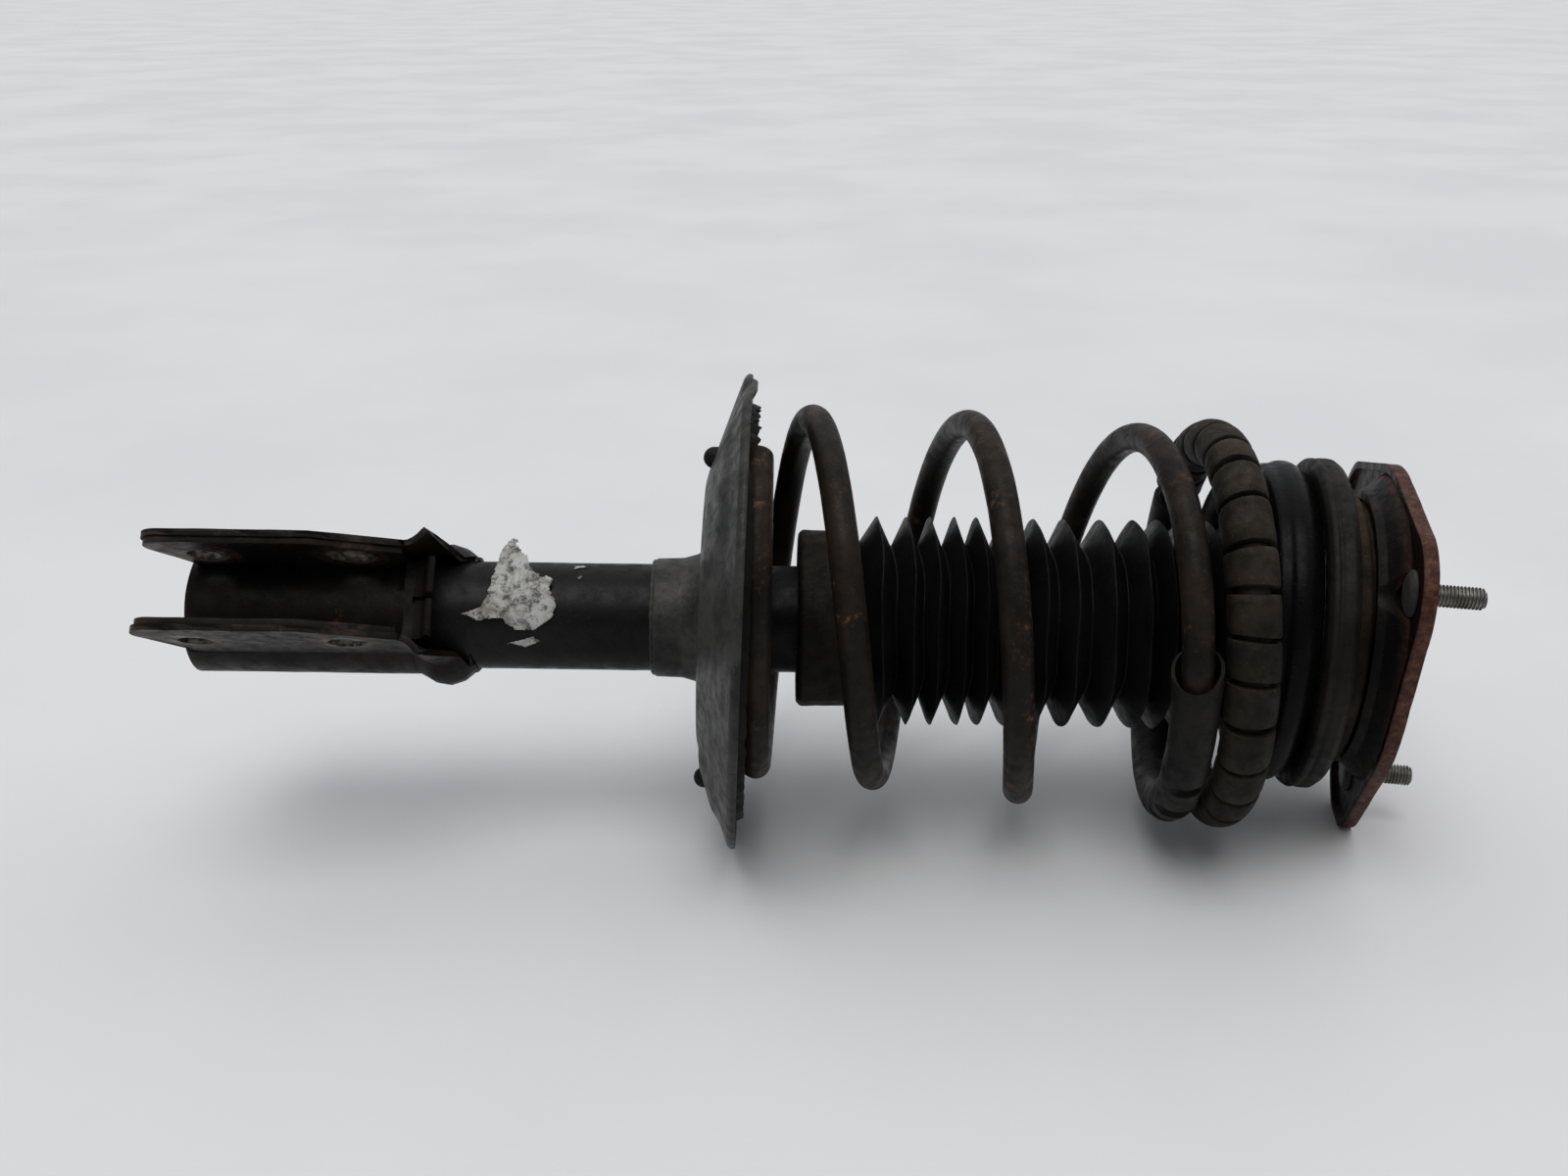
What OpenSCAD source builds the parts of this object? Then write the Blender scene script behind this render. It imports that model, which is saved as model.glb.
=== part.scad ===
// Strut assembly: damper, coil spring, knuckle bracket and top mount.
// X runs along the damper, with the bracket at -X and the studs at +X. Z is up as the strut lies.
// The origin is the centre of the stud circle, on the outer face of the top plate.

/* [Damper tube] */
// Outside diameter of the reservoir tube
tube_od = 51; // [49:0.5:53]
// Wall thickness of the reservoir tube
tube_wall = 2.6; // [2.2:0.1:3]
// Lower end of the tube, from the stud plane
tube_low = -559; // [-560:1:-557]
// Diameter of the piston rod
rod_d = 20; // [18:0.5:22]

/* [Knuckle bracket] */
// Thickness of each bracket sheet
sheet = 3; // [2.6:0.1:3.2]
// Clear gap between the two ears
ear_gap = 34; // [32:1:36]
// Reach of the ears from the damper axis
ear_reach = 62; // [58:1:66]
// Distance of the bolt holes from the damper axis
bolt_reach = 40; // [38:1:42]
// Spacing of the two bolt holes along the damper
bolt_spacing = 67; // [64:1:69]
// Diameter of the bolt holes
bolt_hole_d = 15; // [12:0.5:16]
// Elevation of the ears as the strut lies
ear_lift = 36; // [20:1:50]

/* [Spring and seats] */
// Outer radius of the lower spring seat
seat_r = 113; // [108:1:118]
// Lean of the lower seat, in degrees
seat_lean = 1.5; // [0:0.5:3]
// Diameter of the spring wire
wire_d = 14; // [12:0.5:14]
// Mean radius of the coils
coil_r = 85; // [83:0.5:86]
// Pitch of the open coils
coil_pitch = 77; // [76:0.5:77.5]
// Number of turns, end to end
coil_turns = 5; // [4.8:0.05:5.05]
// Outer diameter of the rubber sleeves on the top coils
sleeve_d = 22.5; // [20:0.5:22.5]

/* [Top mount] */
// Diameter of the stud circle
stud_circle = 150; // [146:1:154]
// Diameter of the studs
stud_d = 10; // [8:1:10]
// Length of the studs beyond the plate
stud_out = 26; // [22:1:28]
// Lean of the bearing's near side towards the spring, in degrees
near_lean = 7; // [5:0.5:7.5]
// Lean of the top plate's near side towards the spring, in degrees
plate_lean = 9.5; // [8:0.5:10]
// Lean of the top mount's upper side away from the spring, in degrees
top_lean = 0.5; // [0:0.5:1.5]

/* [Hidden] */

tube_r = tube_od / 2;
tube_bore_r = tube_r - tube_wall;
tube_high = -250;
rod_r = rod_d / 2;
fit = 0.05;              // radial clearance of a running fit
slack = 0.3;             // gap between faces that turn past each other

bracket_low = -561;
bracket_high = -457;
ear_tip_x = -563;        // centre of the rounded corner at the ears' lower end
ear_tip_r = 10;
ear_high_reach = 48.5;   // reach of the ears where they meet the flare
ear_in = ear_gap / 2;
ear_mid = ear_in + sheet;
ear_out = ear_in + 2 * sheet;
wrap_r = tube_r + sheet;
bolt_low = -549;

// Middle of the flare's sheet as [x, height over the sheet], on the ears and then on the tube
flare_on_ear = [[-458, 0], [-455, 0.5], [-452.5, 1.8], [-450.3, 3.6], [-448.8, 5.4], [-447.5, 6.8]];
flare_on_tube = [[-458, -0.7], [-452, 2.4], [-448, 4.6], [-443, 5.4], [-437, 3.4], [-431, -1.5]];

label_low = -434;        // paper label, along the tube and in elevation
label_high = -396;
label_from = -4;
label_to = 82;

seat_x = -324;           // back face of the lower seat's flat bottom
seat_rise = 4;           // rise of the lower seat's centre over the damper axis
nub_r = 5;
nub_circle = 79;
nub_x = 4;               // centre of a nub's domed end, from the seat's back face
nub_elevations = [84, -65, 205];

coil_start = -298;       // wire centre at the lower tip
coil_rise = 15;          // rise of the lowest coil's centre over the damper axis
coil_lean = 5;         // how far the top of a coil leads its centre along X
coil_near = 7;           // how far the near side of the last coils falls behind
tip_elevation = 68;

cup_r = 43;
cup_low = -279;          // boot cup
cup_high = -252;
boot_high = -65;
boot_crest_r = 51;
boot_valley_r = 35.5;
boot_crests = [-241, -227, -216, -204, -194, -181, -167, -153, -136, -120, -109, -97, -86, -75];
boot_wall = 1.6;

top_seat_x = -65;        // face of the upper seat that the spring bears on
bearing_x = -42;         // outer face of the upper seat, along the top mount's own axis
ball_circle = 62;
ball_r = 3;
ball_x = -36.3;
ball_count = 18;
plate_t = 3.5;
plate_lip = 6.5;          // depth of the lip turned back round the plate's edge
core_r = 16;
neck_r = 7;
shoulder_x = -31;        // shoulder of the rod, where its neck begins
lobe_elevations = [34, -86, 154];
lobe_r = 28;
stud_head_r = 10.5;
stud_shank_r = stud_d / 2 + 0.5;   // knurled shank pressed into the plate
plate_side_r = 78;       // distance of the plate's sides from the axis
bumper_low = -125.5;

pressure_r = 18;         // bore radius of the pressure tube
guide_low = -281;
guide_high = -259;

// A profile of [radius, x] points turned round the damper axis
module turned(points, sides = 96)
    rotate([0, 90, 0]) rotate_extrude($fn = sides) polygon(points);

// A plain ring or disc on the damper axis
module ring(outer, inner, low, high, sides = 96)
    turned([[inner, low], [outer, low], [outer, high], [inner, high]], sides);

// A round rod or hole along X
module rod_x(r, low, high, sides = 64)
    translate([low, 0, 0]) rotate([0, 90, 0]) cylinder(r = r, h = high - low, $fn = sides);

// Places children at an elevation round the damper axis, at a radius from it
module around(elevation, radius) rotate([-elevation, 0, 0]) translate([0, -radius, 0]) children();

// ---- damper ----

module outer_tube() color([0.06, 0.06, 0.065])
    turned([[0, tube_low + 2], [14, tube_low + 2], [16, tube_low], [tube_r - 1, tube_low],
            [tube_r, tube_low + 1], [tube_r, tube_high - 1.5], [tube_r - 1.5, tube_high],
            [tube_bore_r - 2, tube_high], [tube_bore_r - 2, tube_high - 2.5],
            [tube_bore_r, tube_high - 2.5], [tube_bore_r, tube_low + 5], [0, tube_low + 5]]);

module pressure_tube() color("silver")
    ring(pressure_r + 1.5, pressure_r, tube_low + 8, guide_low);

module base_valve() color("silver") difference() {
    union() {
        ring(tube_bore_r - 0.4, 0, tube_low + 5, tube_low + 8);
        ring(pressure_r, 0, tube_low + 8, tube_low + 18);
    }
    for (turn = [0 : 60 : 300]) around(turn, 11) rod_x(2, tube_low + 4, tube_low + 19, 24);
}

module rod_guide() color("dimgray") union() {
    ring(tube_bore_r, rod_r + fit, guide_low, guide_high);
    ring(pressure_r, rod_r + fit, guide_low - 8, guide_low);
}

module rod_seal() color([0.05, 0.05, 0.05])
    ring(tube_bore_r, rod_r + fit, guide_high, tube_high - 2.5);

module bump_cap() color([0.2, 0.2, 0.2])
    turned([[rod_r + 0.6, tube_high], [tube_r - 1.5, tube_high], [tube_r, tube_high - 1.5],
            [tube_r, tube_high - 14], [tube_r + 2, tube_high - 14], [tube_r + 2, tube_high + 2],
            [tube_r, tube_high + 4], [rod_r + 0.6, tube_high + 4]]);

module piston_rod() color("lightgray") union() {
    rod_x(rod_r - 0.02, -306, shoulder_x);
    rod_x(6.5, -331, -305);
    rod_x(neck_r, shoulder_x - 1, 12);
}

module piston() color("gray") difference() {
    ring(pressure_r - 0.5, 6.5, -326, -306);
    ring(pressure_r, pressure_r - 1.5, -320, -312);
    for (turn = [0 : 60 : 300]) around(turn, 12) rod_x(1.8, -327, -305, 24);
}

module piston_band() color("teal")
    ring(pressure_r - fit, pressure_r - 1.5, -320, -312);

module rebound_stop() color([0.1, 0.1, 0.1])
    ring(15, rod_r - 0.02, -301, guide_low - 8 - slack);

module jounce_bumper() color([0.75, 0.68, 0.45])
    turned([[rod_r, bumper_low], [14, bumper_low], [17, bumper_low + 4],
            [18, bumper_low + 14], [15, bumper_low + 20], [19, bumper_low + 27],
            [20, bumper_low + 42], [17, bumper_low + 49], [21, bumper_low + 56],
            [21, -37], [rod_r, -37]]);

// ---- bracket ----

// The ears' own frame: they reach towards -Y, with the gap along Z
module ear_frame() rotate([-ear_lift, 0, 0]) children();

// The four bolt walls' holes
module bolt_holes() ear_frame() for (step = [0, 1])
    translate([bolt_low + step * bolt_spacing, -bolt_reach, 0])
        cylinder(d = bolt_hole_d, h = 2 * ear_out + 10, center = true, $fn = 48);

// Ear outline in X and Y, with a rounded free corner at the lower end
module ear_outline(inset = 0) union() {
    polygon([[bracket_low + 7 + inset, -14], [ear_tip_x - 8.8 + inset, -ear_reach + 14.7],
             [ear_tip_x, -ear_reach + inset], [-497, -ear_reach + inset],
             [bracket_high - inset, -ear_high_reach + inset], [bracket_high - inset, -14]]);
    translate([ear_tip_x, -ear_reach + ear_tip_r]) circle(r = ear_tip_r - inset, $fn = 48);
}

// A section in Y and Z drawn out along X
module section_x(low, high)
    translate([low, 0, 0]) rotate([90, 0, 90]) linear_extrude(high - low) children();

// Runs round the bracket from one ear's edge to the other's, as the middle of its sheet:
// [y, z, direction of the sheet's outer face, share of the tube's flare in the section]
flare_mid = ear_mid + sheet / 2;
wrap_mid = tube_r + sheet / 2;
flare_half = concat(
    [for (step = [0 : 4]) [0.2 - ear_high_reach + 8 * step, flare_mid, 90, 0.17 * step]],
    [for (turn = [60 : 10 : 90])
        [-wrap_mid * cos(turn), wrap_mid * sin(turn), 90, 0.7 + 0.3 * (turn - 50) / 40]],
    [for (turn = [105 : 15 : 165]) [-wrap_mid * cos(turn), wrap_mid * sin(turn), turn, 1]]);
flare_path = concat(flare_half, [[wrap_mid, 0, 180, 1]],
    [for (p = reversed(flare_half)) [p[0], -p[1], -p[2], p[3]]]);

// Section of the flare at one place on that run, as a closed loop of [x, height]
function flare_section(share) = let (
    mid = [for (v = [0 : len(flare_on_ear) - 1])
        (1 - share) * flare_on_ear[v] + share * flare_on_tube[v]],
    last = len(mid) - 1,
    across = [for (v = [0 : last]) let (
        d = unit(mid[min(v + 1, last)] - mid[max(v - 1, 0)])) [-d[1], d[0]] * (sheet / 2 - 0.1)])
    concat([for (v = [0 : last]) mid[v] + across[v]],
           [for (v = [last : -1 : 0]) mid[v] - across[v]]);

module flare() {
    loops = [for (p = flare_path) [for (q = flare_section(p[3]))
        [q[0], p[0] - q[1] * cos(p[2]), p[1] + q[1] * sin(p[2])]]];
    sides = len(loops[0]);
    rings = len(loops) - 1;
    polyhedron([for (loop = loops) each loop], concat(
        [for (k = [0 : sides / 2 - 2]) [k, k + 1, sides - 2 - k, sides - 1 - k]],
        [for (k = [0 : sides / 2 - 2]) let (p = rings * sides)
            [p + sides - 1 - k, p + sides - 2 - k, p + k + 1, p + k]],
        [for (i = [0 : rings - 1], k = [0 : sides - 1]) let (
            p = i * sides + k, q = i * sides + (k + 1) % sides)
            each [[p, p + sides, q], [q, p + sides, q + sides]]]));
}

module knuckle_bracket() color([0.08, 0.075, 0.07]) difference() {
    ear_frame() union() {
        section_x(bracket_low, bracket_high) difference() {
            circle(r = wrap_r, $fn = 96);
            translate([-60, -40]) square([42, 80]);
        }
        for (side = [0, 1]) mirror([0, 0, side])
            translate([0, 0, ear_mid]) linear_extrude(sheet) ear_outline();
        flare();
    }
    rod_x(tube_r, -600, -400, 96);
    bolt_holes();
}

module bracket_reinforcement() color([0.1, 0.09, 0.08]) difference() {
    ear_frame() union() {
        section_x(bracket_low + 1, bracket_high + 1) intersection() {
            circle(r = wrap_r, $fn = 96);
            translate([-40, -ear_mid]) square([21.9, 2 * ear_mid]);
        }
        for (side = [0, 1]) mirror([0, 0, side]) {
            translate([0, 0, ear_in]) linear_extrude(sheet) intersection() {
                ear_outline(1.2);
                translate([-600, -100]) square([200, 81.9]);
            }
            // lip turned up at the upper end, beside the other ear's
            translate([0, 0, 1.5]) linear_extrude(ear_in)
                polygon([[-460, -24], [-452, -24], [-447.5, -28], [-445.5, -33], [-445, -38],
                         [-446.5, -39], [-448, -38], [-449, -33.5], [-451.5, -30],
                         [-455, -28.3], [-460, -28.3]]);
        }
    }
    rod_x(tube_r, -600, -400, 96);
    bolt_holes();
}

module label_remnant() color([0.62, 0.62, 0.6])
    rotate([0, 90, 0]) rotate([0, 0, 270 - label_to])
    rotate_extrude(angle = label_to - label_from, $fn = 96)
    translate([tube_r, label_low]) square([0.5, label_high - label_low]);

// ---- lower seat ----

// The lower seat's own frame, leaning and a little off the damper axis
module seat_frame()
    translate([seat_x, 0, seat_rise]) rotate([0, seat_lean, 0]) children();

module nub_places() for (elevation = nub_elevations)
    seat_frame() around(elevation, nub_circle) children();

module spring_seat() color([0.12, 0.12, 0.115]) difference() {
    union() {
        seat_frame() turned([[20, 0], [62, 0], [66, 1], [seat_r - 2, 16], [seat_r, 18],
                             [seat_r - 0.6, 20.2], [seat_r - 4, 19.4], [65, 4.2], [61, 3], [20, 3]]);
        turned([[20, -346], [tube_r + 2.6, -346], [tube_r + 3, -333], [tube_r + 5, -326],
                [tube_r + 9, -322], [20, -322]]);
        // tongue on the upper edge
        seat_frame() around(86, seat_r - 4) translate([17.4, -5, -9]) cube([sheet, 8, 18]);
    }
    rod_x(tube_r, -360, -300, 96);
    nub_places() rod_x(nub_r, -15, 15, 32);
}

module lower_spring_pad() color([0.03, 0.03, 0.03]) difference() {
    union() {
        seat_frame() turned([[38, 3], [61, 3], [65, 4.2], [97, 15.7], [99, 20], [97, 25], [94, 21],
                             [91, 18], [74, 18], [68, 19], [66, 26], [63, 28], [59, 28],
                             [56, 20], [42, 9]]);
        nub_places() {
            rod_x(nub_r, nub_x, 12, 32);
            translate([nub_x, 0, 0]) sphere(r = nub_r, $fn = 32);
        }
    }
    // bed of the lowest coil
    wire_sweep(-0.03, 0.9, wire_d / 2 + slack, 12, 36);
}

// ---- spring ----

// Area under a smooth step from a to b, for pitch that eases in and out
function eased(n, a, b) = let (u = min(1, max(0, (n - a) / (b - a))))
    (b - a) * (pow(u, 3) - pow(u, 4) / 2) + max(n - b, 0);
function smooth(n, a, b) = let (u = min(1, max(0, (n - a) / (b - a)))) u * u * (3 - 2 * u);

// Wire centre after n turns: closed ends, open middle, and a last coil that closes in
function coil_x(n) = coil_start + coil_pitch
    * (eased(n, 0.2, 0.97) - 0.1 * smooth(n, 1.4, 1.8) + 0.05 * smooth(n, 2.4, 2.8)
       - 0.68 * eased(n, 2.8, 3.6) - 0.08 * smooth(n, 3.5, 3.85)
       + 0.08 * smooth(n, 3.95, 4.35) - 0.42 * eased(n, 4.1, 4.7));
function coil_radius(n) = coil_r - 3 * (1 - smooth(n, 0.8, 2)) - 19 * smooth(n, 4.4, 4.9);
function coil_point(n) = let (
        elevation = tip_elevation - 360 * n,
        r = coil_radius(n),
        x = coil_x(n),
        lean = coil_lean * smooth(n, 0.6, 1.6),
        near = coil_near * (0.5 * smooth(n, 0.4, 1) + 0.5 * smooth(n, 2.9, 3.9)),
        rise = coil_rise * (x + 62) / (coil_start + 62))
    [x + (lean * sin(elevation) - near * cos(elevation - 15)) * r / coil_r,
     -r * cos(elevation), rise + r * sin(elevation)];

function unit(v) = v / norm(v);
// A round section swept along the wire from turn a to turn b
module wire_sweep(a, b, r, sides, rings) {
    eps = 0.002;
    points = [for (i = [0 : rings]) let (
        n = a + (b - a) * i / rings,
        here = coil_point(n),
        along = unit(coil_point(n + eps) - coil_point(n - eps)),
        out = unit([0, here[1], here[2]]),
        side = unit(cross(along, out)),
        up = cross(side, along))
        for (k = [0 : sides - 1])
            here + r * (cos(360 * k / sides) * up + sin(360 * k / sides) * side)];
    faces = concat(
        [[for (k = [0 : sides - 1]) k]],
        [[for (k = [sides - 1 : -1 : 0]) rings * sides + k]],
        [for (i = [0 : rings - 1], k = [0 : sides - 1]) let (
            p = i * sides + k, q = i * sides + (k + 1) % sides)
            each [[p, p + sides, q], [q, p + sides, q + sides]]]);
    polyhedron(points, faces);
}

module coil_spring() color([0.09, 0.08, 0.07])
    wire_sweep(0, coil_turns, wire_d / 2, 12, 200);

module sleeve(a, b, r, rings) difference() {
    wire_sweep(a, b, r, 12, rings);
    wire_sweep(a - 0.01, b + 0.01, wire_d / 2 + slack, 12, rings);
}

module coil_sleeve() color([0.05, 0.05, 0.05]) sleeve(3.15, 3.76, sleeve_d / 2 - 1, 26);
module segmented_sleeve() color([0.12, 0.11, 0.09]) sleeve(3.78, 4.42, sleeve_d / 2, 26);

// ---- boot ----

// Zigzag wall of the bellows, moved in or out by an offset
function bellows(grow) = concat([[boot_valley_r + grow, cup_high + 1]],
    [for (i = [0 : len(boot_crests) - 1]) let (
        x = boot_crests[i],
        next = i + 1 < len(boot_crests) ? boot_crests[i + 1] : 2 * (boot_high - 4) - x)
        each [[boot_crest_r + grow, x], [boot_valley_r + grow, (x + next) / 2]]]);
function reversed(list) = [for (i = [len(list) - 1 : -1 : 0]) list[i]];

module dust_boot() color([0.04, 0.04, 0.045]) difference() {
    turned(concat(
        [[tube_r, cup_low], [cup_r - 2, cup_low], [cup_r, cup_low + 2], [cup_r - 0.5, cup_high - 2],
         [38, cup_high]],
        bellows(0),
        [[45, boot_high - 2], [45, boot_high + 7], [boot_valley_r - 2, boot_high + 7]],
        reversed(bellows(-boot_wall)),
        [[38, cup_high - 3], [cup_r - 3, cup_low + 3], [tube_r, cup_low + 3]]));
    top_frame() rod_x(60, top_seat_x - 0.1, -30, 96);
}

// ---- upper seat and bearing ----

// The bearing's and the plate's own frames lean about the centre of the stud circle
module top_frame() rotate([0, top_lean, 0]) rotate([0, 0, -near_lean]) children();
module plate_frame() rotate([0, top_lean, 0]) rotate([0, 0, -plate_lean]) children();

module upper_spring_seat() color([0.07, 0.07, 0.075]) top_frame()
    turned([[32, top_seat_x], [72, top_seat_x], [76, top_seat_x + 1], [76.5, top_seat_x + 6],
            [77, top_seat_x + 14], [75, bearing_x - 4], [71, bearing_x], [54, bearing_x],
            [54, bearing_x - 4], [32, bearing_x - 4]]);

module raceway(low, high) top_frame() difference() {
    ring(67, 57, low, high);
    rotate([0, 90, 0]) rotate_extrude($fn = 96)
        translate([ball_circle, ball_x]) circle(r = ball_r + 0.1, $fn = 32);
}

module bearing_lower_race() color("silver") raceway(bearing_x, ball_x - 1.6);
module bearing_upper_race() color("silver") raceway(ball_x + 1.6, ball_x + 5);

module ball_places() for (i = [0 : ball_count - 1])
    around(i * 360 / ball_count, ball_circle) translate([ball_x, 0, 0]) children();

module bearing_balls() color("gainsboro") top_frame()
    ball_places() sphere(r = ball_r, $fn = 32);

module bearing_cage() color([0.85, 0.82, 0.7]) top_frame() difference() {
    ring(66, 58, ball_x - 1, ball_x + 1);
    ball_places() rod_x(ball_r + 0.02, -5, 5, 32);
}

module bearing_cap() color([0.06, 0.06, 0.06]) top_frame() difference() {
    turned([[50, bearing_x + slack], [76, bearing_x + slack], [79, bearing_x + 2],
            [79.5, -31], [77, -28], [70, -27], [50, -27]]);
    ring(68, 53, bearing_x - 1, ball_x + 5);
}

// ---- top mount ----

// Three lobes, one round each stud
module plate_outline() hull() {
    for (elevation = lobe_elevations)
        rotate(elevation) translate([-stud_circle / 2, 0]) circle(r = lobe_r, $fn = 48);
    circle(r = plate_side_r, $fn = 96);
}

// A flat shape drawn in Y and Z, from x = low to x = high
module flat_x(low, high)
    translate([low, 0, 0]) rotate([90, 0, 90]) linear_extrude(high - low)
    mirror([0, 1, 0]) children();

module stud_places() for (elevation = lobe_elevations)
    around(elevation, stud_circle / 2) children();

module mount_plate() color([0.2, 0.13, 0.1]) plate_frame() difference() {
    union() {
        flat_x(-plate_t, 0) plate_outline();
        flat_x(-plate_lip, -plate_t) difference() {
            plate_outline();
            offset(delta = -plate_t) plate_outline();
        }
        difference() {
            turned([[61, -16], [65, -16], [66, -12], [72, -6], [73.5, -plate_t],
                    [68, -plate_t], [63, -10]]);
            stud_places() rod_x(stud_head_r + slack, -25, 5, 48);
        }
    }
    rod_x(34, -30, 5, 96);
    stud_places() rod_x(stud_shank_r + fit, -20, 5, 48);
}

module mount_studs() color("silver") plate_frame() stud_places() {
    rod_x(stud_shank_r, -plate_t, 0, 48);
    rod_x(stud_d / 2, 0, stud_out, 48);
    turned([[0, -plate_t - 3.2], [stud_head_r - 2, -plate_t - 3.2],
            [stud_head_r, -plate_t - 1.4], [stud_head_r, -plate_t], [0, -plate_t]], 48);
}

// The rubber fills the space between the bearing cap and the plate that leans over it
module mount_rubber() color([0.16, 0.12, 0.09]) difference() {
    top_frame() turned([[core_r + slack, -27], [67, -27], [67, -21], [60, -19], [60, 0],
                        [core_r + slack, 0]]);
    plate_frame() {
        rod_x(120, -plate_t, 20, 96);
        ring(90, 61, -16, 5);
    }
}

// The core's outside follows the leaning mount, and its bore follows the rod
module mount_core() color("gray") difference() {
    top_frame() turned([[0, -32], [26, -32], [26, -27 - slack], [core_r, -27 - slack],
                        [core_r, 6], [0, 6]]);
    rod_x(rod_r - 0.02, -50, shoulder_x);
    rod_x(neck_r, -50, 20, 48);
    translate([1, -30, -30]) cube([20, 60, 60]);
}

module rod_washer() color("silver") ring(14, neck_r, 1, 4);

module rod_nut() color("silver") difference() {
    rod_x(11.5, 4, 10, 6);
    rod_x(neck_r, 3, 11, 48);
}

outer_tube();
knuckle_bracket();
bracket_reinforcement();
spring_seat();
lower_spring_pad();
pressure_tube();
base_valve();
rod_guide();
rod_seal();
bump_cap();
label_remnant();
coil_spring();
dust_boot();
upper_spring_seat();
bearing_lower_race();
coil_sleeve();
segmented_sleeve();
bearing_cage();
bearing_balls();
bearing_cap();
bearing_upper_race();
mount_rubber();
mount_plate();
mount_studs();
mount_core();
piston_rod();
piston();
piston_band();
rebound_stop();
jounce_bumper();
rod_washer();
rod_nut();
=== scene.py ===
# Looks of the strut assembly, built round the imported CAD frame.
import math

import bmesh
import bpy
from mathutils import Matrix, Vector, noise


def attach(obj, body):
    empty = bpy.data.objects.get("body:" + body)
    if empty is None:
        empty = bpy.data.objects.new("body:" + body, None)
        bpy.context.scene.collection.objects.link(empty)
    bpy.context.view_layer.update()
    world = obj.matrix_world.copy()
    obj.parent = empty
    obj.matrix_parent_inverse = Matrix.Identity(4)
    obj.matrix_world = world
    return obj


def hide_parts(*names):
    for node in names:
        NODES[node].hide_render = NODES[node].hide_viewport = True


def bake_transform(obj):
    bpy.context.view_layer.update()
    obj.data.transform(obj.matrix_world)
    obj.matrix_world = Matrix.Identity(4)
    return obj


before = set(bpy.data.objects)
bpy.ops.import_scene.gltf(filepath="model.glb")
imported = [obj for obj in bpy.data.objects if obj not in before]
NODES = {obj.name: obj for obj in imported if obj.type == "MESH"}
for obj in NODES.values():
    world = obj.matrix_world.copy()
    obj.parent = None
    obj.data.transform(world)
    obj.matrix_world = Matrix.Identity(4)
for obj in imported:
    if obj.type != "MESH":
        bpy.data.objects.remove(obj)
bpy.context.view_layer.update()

MM = 0.001
TAU = 2 * math.pi


# ---------------------------------------------------------------- small tools

def smooth(n, a, b):
    """A smooth ramp from 0 at a to 1 at b."""
    u = min(1.0, max(0.0, (n - a) / (b - a)))
    return u * u * (3 - 2 * u)


def noise_at(x, y, z, scale, seed=0.0):
    """Smooth noise from -1 to 1; scale is the size of its lumps, in the units of x, y and z."""
    return noise.noise(Vector((x / scale + seed, y / scale - seed, z / scale + 2 * seed)))


def linked(name, data):
    """An object in the scene that holds the given mesh, camera or lamp."""
    made = bpy.data.objects.new(name, data)
    bpy.context.scene.collection.objects.link(made)
    return made


def mesh_piece(name, verts, faces, sharp=40.0):
    """A mesh object from points in millimetres, with smooth shading below the sharp angle."""
    data = bpy.data.meshes.new(name)
    data.from_pydata([(x * MM, y * MM, z * MM) for x, y, z in verts], [], faces)
    piece = linked(name, data)
    tidy_mesh(piece, sharp)
    return piece


def tidy_mesh(piece, sharp=40.0, merge=1e-6):
    """Merged points, normals that face out, and smooth shading below the sharp angle."""
    bm = bmesh.new()
    bm.from_mesh(piece.data)
    bmesh.ops.remove_doubles(bm, verts=bm.verts, dist=merge)
    bmesh.ops.recalc_face_normals(bm, faces=bm.faces)
    for face in bm.faces:
        face.smooth = True
    limit = math.radians(sharp)
    for edge in bm.edges:
        edge.smooth = len(edge.link_faces) != 2 or edge.calc_face_angle(0.0) < limit
    bm.to_mesh(piece.data)
    bm.free()


def baked(piece):
    """The piece with its modifiers applied to its mesh."""
    graph = bpy.context.evaluated_depsgraph_get()
    mesh = bpy.data.meshes.new_from_object(piece.evaluated_get(graph))
    piece.modifiers.clear()
    piece.data = mesh
    return piece


def finish_piece(piece, material, body=None, replaces=()):
    """Gives a piece its material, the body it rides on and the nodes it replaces."""
    piece.data.materials.clear()
    piece.data.materials.append(material)
    if body:
        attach(piece, body)
    if replaces:
        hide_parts(*replaces)
    return piece


def rounded(profile, radius, steps=4):
    """A closed profile of (r, x) points with its corners rounded."""
    points = []
    count = len(profile)
    for i, here in enumerate(profile):
        before, after = profile[i - 1], profile[(i + 1) % count]
        if here[0] < 1e-6:
            points.append(here)
            continue
        here_v, a, b = Vector(here), Vector(before), Vector(after)
        cut_a = min(radius, 0.45 * (a - here_v).length)
        cut_b = min(radius, 0.45 * (b - here_v).length)
        start = here_v + (a - here_v).normalized() * cut_a
        end = here_v + (b - here_v).normalized() * cut_b
        for k in range(steps + 1):
            t = k / steps
            p = start * (1 - t) ** 2 + here_v * (2 * t * (1 - t)) + end * t ** 2
            points.append((p.x, p.y))
    return points


def dense(profile, longest):
    """The same closed profile with no stretch longer than a given length."""
    points = []
    for i, start in enumerate(profile):
        a, b = Vector(start), Vector(profile[(i + 1) % len(profile)])
        parts = max(1, math.ceil((b - a).length / longest))
        points += [tuple(a.lerp(b, k / parts)) for k in range(parts)]
    return points


def lathe(name, profile, sides=160, shape=None, sharp=40.0):
    """A closed (r, x) profile turned round X.
    shape(r, x, elevation) may move a point; it gives back the new (r, x)."""
    verts, faces = [], []
    count = len(profile)
    for k in range(sides):
        elevation = TAU * k / sides
        for r, x in profile:
            if shape and r > 1e-6:
                r, x = shape(r, x, elevation)
            verts.append((x, -r * math.cos(elevation), r * math.sin(elevation)))
    for k in range(sides):
        q = (k + 1) % sides
        for i in range(count):
            j = (i + 1) % count
            faces.append((k * count + i, k * count + j, q * count + j, q * count + i))
    return mesh_piece(name, verts, faces, sharp)


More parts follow.
